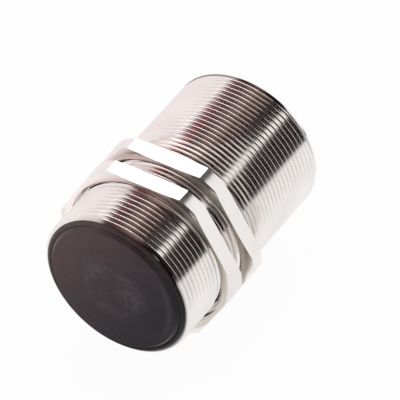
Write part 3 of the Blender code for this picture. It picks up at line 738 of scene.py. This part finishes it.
def plug_shell(material):
    """The plug's shell with its fine thread, undercut and collar."""
    low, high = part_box("connector_shell")
    collar_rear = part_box("connector_gasket")[1].y + PLUG_SEAT_GAP + PLUG_COLLAR_THICKNESS
    collar_front = collar_rear - PLUG_COLLAR_THICKNESS
    thread_front = collar_rear + PLUG_UNDERCUT_LENGTH
    shoulder = low.y + PLUG_SHOULDER_LENGTH
    collar, edge = high.z, PLUG_EDGE
    shape = thread_surface(PLUG_RADIUS, PLUG_PITCH, thread_front, high.y, PLUG_THREAD_START, PLUG_STEPS)

    def limit(along):
        return PLUG_RADIUS - max(
            0,
            PLUG_CHAMFER - (high.y - along),
            PLUG_CHAMFER - (along - thread_front),
        )

    trim_radius(shape, limit)
    stem = extend_rim(
        shape,
        thread_front,
        [
            (PLUG_UNDERCUT_RADIUS, thread_front),
            (PLUG_UNDERCUT_RADIUS, collar_rear),
            (collar - edge, collar_rear),
            (collar, collar_rear - edge),
            (collar, collar_front + edge),
            (collar - edge, collar_front),
            (PLUG_STEM_RADIUS, collar_front),
            (PLUG_STEM_RADIUS, low.y),
            (PLUG_SHOULDER_RADIUS, low.y),
            (PLUG_SHOULDER_RADIUS, shoulder),
            (PLUG_BORE_RADIUS, shoulder),
        ],
    )
    mouth = extend_rim(
        shape,
        high.y,
        [
            (PLUG_BORE_RADIUS + edge, high.y),
            (PLUG_BORE_RADIUS, high.y - edge),
            (PLUG_BORE_RADIUS, shoulder + BORE_SEAM),
        ],
    )
    bmesh.ops.bridge_loops(shape, edges=stem + mouth)
    bmesh.ops.recalc_face_normals(shape, faces=shape.faces)
    finish_piece("plug_shell", shape, "barrel", material, ["connector_shell"])


def gasket(material):
    """The flat ring between the plug's collar and the end cap."""
    low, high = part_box("connector_gasket")
    outer, bore = high.z, PLUG_HOLE_RADIUS
    profile = [(outer, high.y), (outer, low.y), (bore, low.y), (bore, high.y)]
    shape = spun(profile, GASKET_STEPS)
    finish_piece("plug_gasket", shape, "barrel", material, ["connector_gasket"], MOULDED_SHARP)


def plug_pin(node, material):
    """A round contact with a domed tip."""
    low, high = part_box(node)
    radius = (high.x - low.x) / 2
    centre = ((low.x + high.x) / 2, (low.z + high.z) / 2)
    dome = list(arc(0, high.y - radius, radius, 90, 0, 6))
    profile = [(0, high.y), *dome[1:], (radius, low.y), (0, low.y)]
    shape = spun(profile, PIN_STEPS, centre)
    finish_piece("plug_pin_" + node[-1], shape, "barrel", material, [node], MOULDED_SHARP)


def dress_node(node, material):
    """Give a solid that is shown as it is its material."""
    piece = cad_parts[node]
    piece.data.materials.clear()
    piece.data.materials.append(material)


def flat_card(name, size, place, facing, material):
    """A flat card of the studio, facing along a direction."""
    shape = bmesh.new()
    bmesh.ops.create_grid(shape, x_segments=1, y_segments=1, size=0.5)
    bmesh.ops.scale(shape, verts=shape.verts, vec=(size[0], size[1], 1))
    turn = Vector(facing).to_track_quat("Z", "Y").to_matrix().to_4x4()
    bmesh.ops.transform(shape, verts=shape.verts, matrix=Matrix.Translation(place) @ turn)
    mesh = bpy.data.meshes.new(name)
    shape.to_mesh(mesh)
    shape.free()
    mesh.materials.append(material)
    card = bpy.data.objects.new(name, mesh)
    bpy.context.scene.collection.objects.link(card)
    return card


def reflected_card(name, size, place, facing, material):
    """A card that shows only in the sensor's reflections."""
    card = flat_card(name, size, place, facing, material)
    card.visible_camera = False
    card.visible_diffuse = False
    card.visible_shadow = False


def wall_card(name, wall, spans, material):
    """A card on a wall or the ceiling, spanning offsets per metre of distance from the sensor."""
    (left, right), (bottom, top) = spans
    size = ((right - left) * ROOM_HALF, (top - bottom) * ROOM_HALF)
    across, height = (left + right) / 2 * ROOM_HALF, (bottom + top) / 2 * ROOM_HALF
    place, facing = {
        "up": ((across, height, ROOM_HALF), (0, 0, -1)),
        "front": ((across, -ROOM_HALF, height), (0, 1, 0)),
        "right": ((ROOM_HALF, across, height), (-1, 0, 0)),
        "left": ((-ROOM_HALF, across, height), (1, 0, 0)),
    }[wall]
    reflected_card(name, size, place, facing, material)


def card_paint(name, colour=(0, 0, 0)):
    """A matt colour that neither takes nor gives light, only shows."""
    finish = Finish(name)
    finish.set(Base_Color=(0, 0, 0, 1), Specular_IOR_Level=0.0)
    finish.set(Emission_Color=(*colour, 1), Emission_Strength=1.0)
    return finish


def banded_paint(name, stops):
    """Colours that change from side to side, given by how far they stand off per metre of distance."""
    finish = card_paint(name)
    first, last = stops[0][0], stops[-1][0]
    across = finish.axes()[0]
    share = finish.ramp(across / ROOM_HALF, first, last)
    stops = [((side - first) / (last - first), colour) for side, colour in stops]
    finish.set(Emission_Color=finish.node("ShaderNodeValToRGB", {"stops": stops}, {"Fac": share}))
    return finish.material


def red_card_paint():
    """A dark red that fades out towards the edge of its card."""
    finish = card_paint("red_card", RED_CARD_COLOUR)
    ends = {0: finish.place, 1: RED_CARD_PLACE}
    off = finish.node("ShaderNodeVectorMath", {"operation": "DISTANCE"}, ends, "Value")
    share = finish.ramp(off, RED_CARD_CORE * RED_CARD_REACH, RED_CARD_REACH, RED_CARD_COVER, 0.0)
    finish.show(finish.mixed(share, finish.node("ShaderNodeBsdfTransparent", {}, {})))
    return finish.material


def floor_paint():
    """A white floor that shows white to the camera and keeps a soft shadow."""
    finish = Finish("studio_floor")
    finish.set(Base_Color=FLOOR_SHADE, Roughness=0.9, Specular_IOR_Level=0.0)
    white = finish.node("ShaderNodeEmission", {}, {"Color": (1, 1, 1, 1), "Strength": 1.0})
    lit_share = 1 - finish.background_rays() * FLOOR_WHITE
    finish.show(finish.mixed(lit_share, white))
    return finish.material


def studio():
    """A white floor in a white room, with one soft lamp, and cards where the photograph shows them."""
    floor_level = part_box("front_nut")[0].z - FLOOR_GAP
    floor = flat_card("floor", FLOOR_SIZE, (0, 0, floor_level), (0, 0, 1), floor_paint())
    floor.visible_glossy = False
    dark = card_paint("dark_card", DARK_CARD_COLOUR).material
    pink = card_paint("pink_card", PINK_CARD_COLOUR).material
    slit = card_paint("slit", SLIT_COLOUR).material
    wall_card("ceiling", "up", CEILING_SPANS, banded_paint("ceiling", CEILING_COLOURS))
    wall_card("front", "front", FRONT_SPANS, banded_paint("front", FRONT_COLOURS))
    wall_card("front_right", "front", FRONT_RIGHT_SPANS, dark)
    wall_card("right", "right", RIGHT_SPANS, dark)
    wall_card("left", "left", LEFT_SPANS, pink)
    red_size = (2 * RED_CARD_REACH, 2 * RED_CARD_REACH)
    red_facing = RED_CARD_AIM - RED_CARD_PLACE
    reflected_card("red", red_size, RED_CARD_PLACE, red_facing, red_card_paint())
    reflected_card("slit", SLIT_SIZE, SLIT_PLACE, SLIT_FACING, slit)
    reflected_card("ceiling_strip", STRIP_SIZE, STRIP_PLACE, STRIP_FACING, dark)
    area_light("soft_box", SOFT_BOX_PLACE, (0, 0, 0), SOFT_BOX_SIZE, SOFT_BOX_POWER)
    world = bpy.data.worlds.new("white_room")
    bpy.context.scene.world = world
    world.use_nodes = True
    room = Nodes(world.node_tree)
    background = world.node_tree.nodes["Background"]
    background.inputs["Color"].default_value = (1, 1, 1, 1)
    strength = ROOM_LIGHT + room.background_rays() * (ROOM_WHITE - ROOM_LIGHT)
    room.feed(background.inputs["Strength"], strength)


def area_light(name, place, aim, size, power):
    """A flat lamp at a place, turned towards its aim."""
    lamp = bpy.data.lights.new(name, "AREA")
    lamp.shape = "RECTANGLE"
    lamp.size, lamp.size_y = size
    lamp.energy = power
    item = bpy.data.objects.new(name, lamp)
    item.location = place
    item.rotation_euler = (Vector(aim) - Vector(place)).to_track_quat("-Z", "Y").to_euler()
    bpy.context.scene.collection.objects.link(item)


def camera():
    """The photograph's own view: a long lens from the front right, with a slight lean."""
    lens = bpy.data.cameras.new("camera")
    lens.sensor_width = CAMERA_SENSOR
    lens.lens = CAMERA_SENSOR * FOCAL_PIXELS / IMAGE_SIDE
    lens.clip_start, lens.clip_end = CAMERA_CLIP
    item = bpy.data.objects.new("camera", lens)
    look = (CAMERA_AIM - CAMERA_PLACE).to_track_quat("-Z", "Y")
    item.rotation_mode = "QUATERNION"
    item.rotation_quaternion = look @ Matrix.Rotation(math.radians(-CAMERA_ROLL), 3, "Z").to_quaternion()
    item.location = CAMERA_PLACE
    bpy.context.scene.collection.objects.link(item)
    bpy.context.scene.camera = item


def dress_inside():
    """Give their materials to the sealed pieces and to other solids that are fine enough as they are."""
    rubber = plain_finish("black_rubber")
    ferrite = plain_finish("sintered_ferrite")
    nylon = plain_finish("natural_nylon")
    epoxy = plain_finish("chip_epoxy")
    can = plain_finish("capacitor_can")
    copper = wound_copper()
    finishes = {
        "front_seal_ring": rubber,
        "rear_seal_ring": rubber,
        "ferrite_core": ferrite,
        "filter_choke": ferrite,
        "coil_bobbin": nylon,
        "core_holder": nylon,
        "coil_winding": copper,
        "coil_lead_a": copper,
        "coil_lead_b": copper,
        "shield_ring": plain_finish("shield_brass"),
        "circuit_board": board_laminate(),
        "oscillator_chip": epoxy,
        "microcontroller": epoxy,
        "output_amplifier": epoxy,
        "voltage_regulator": epoxy,
        "protection_diode": epoxy,
        "filter_capacitor_1": can,
        "filter_capacitor_2": can,
        "filter_capacitor_3": can,
        "connector_lock_nut": nickel_plate("inside_nickel", INSIDE_MARKS),
        "contact_carrier": plain_finish("carrier_plastic"),
    }
    for node, material in finishes.items():
        dress_node(node, material)


def build():
    """Make every visible piece and dress the solids that are shown as they are."""
    front, rear = [corner.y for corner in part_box("threaded_sleeve")]
    edges = (front, rear - SLEEVE_REAR_CHAMFER)
    threaded_barrel(nickel_plate("barrel_nickel", BARREL_MARKS, edges=edges))
    for node in ("front_nut", "rear_nut"):
        faces = [corner.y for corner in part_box(node)]
        lock_nut(node, nickel_plate(node + "_nickel", NUT_MARKS, gloss=NUT_GLOSS, faces=faces))
    sensing_cap(sensing_face_plastic())
    end_cap(plain_finish("end_cap_plastic"))
    plug_shell(nickel_plate("plug_nickel", BARREL_MARKS))
    gasket(plain_finish("gasket_rubber"))
    gold = plain_finish("contact_gold")
    for index in range(1, 5):
        plug_pin(f"contact_pin_{index}", gold)
    dress_inside()


build()
studio()
camera()
bpy.context.scene.view_settings.view_transform = "Standard"
